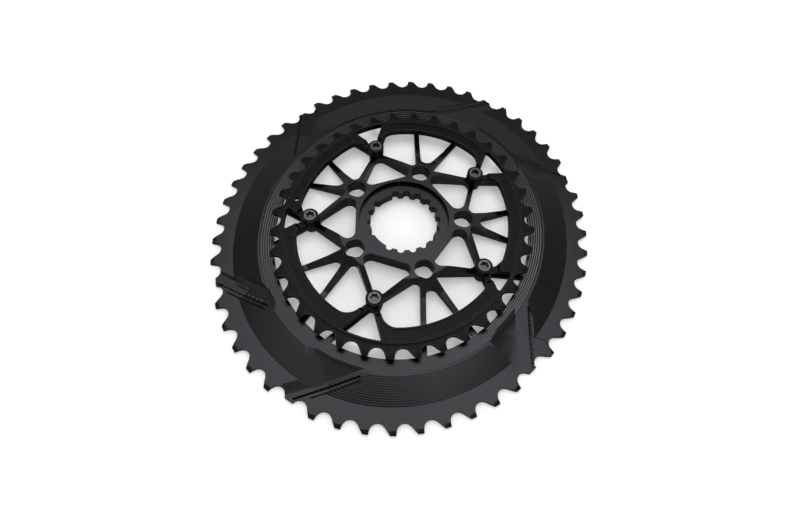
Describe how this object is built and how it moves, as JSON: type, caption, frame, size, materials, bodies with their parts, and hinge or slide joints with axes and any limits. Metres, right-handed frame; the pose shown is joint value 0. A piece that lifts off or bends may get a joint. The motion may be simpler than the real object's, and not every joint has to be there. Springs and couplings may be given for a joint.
{
  "type": "bicycle chainring",
  "caption": "Oval double chainring: a toothed outer ring in one piece with a dished lattice spider and splined hub, and a smaller toothed ring bolted to the spider's pads.",
  "frame": {"origin": "on the ring's axis, at the flat back face of the outer ring", "axes": "+Z along the ring's axis towards the face with the small ring and the bolts, +Y along the long axis of both ovals"},
  "size_m": [0.2016, 0.2238, 0.0128],
  "materials": {
    "outer_ring": "satin black anodised",
    "inner_ring": "satin black anodised",
    "ring_bolts": "bare satin steel"
  },
  "bodies": {
    "root": {"outer_ring": "outer_ring", "inner_ring": "inner_ring", "ring_bolts": "ring_bolts"}
  },
  "joints": []
}
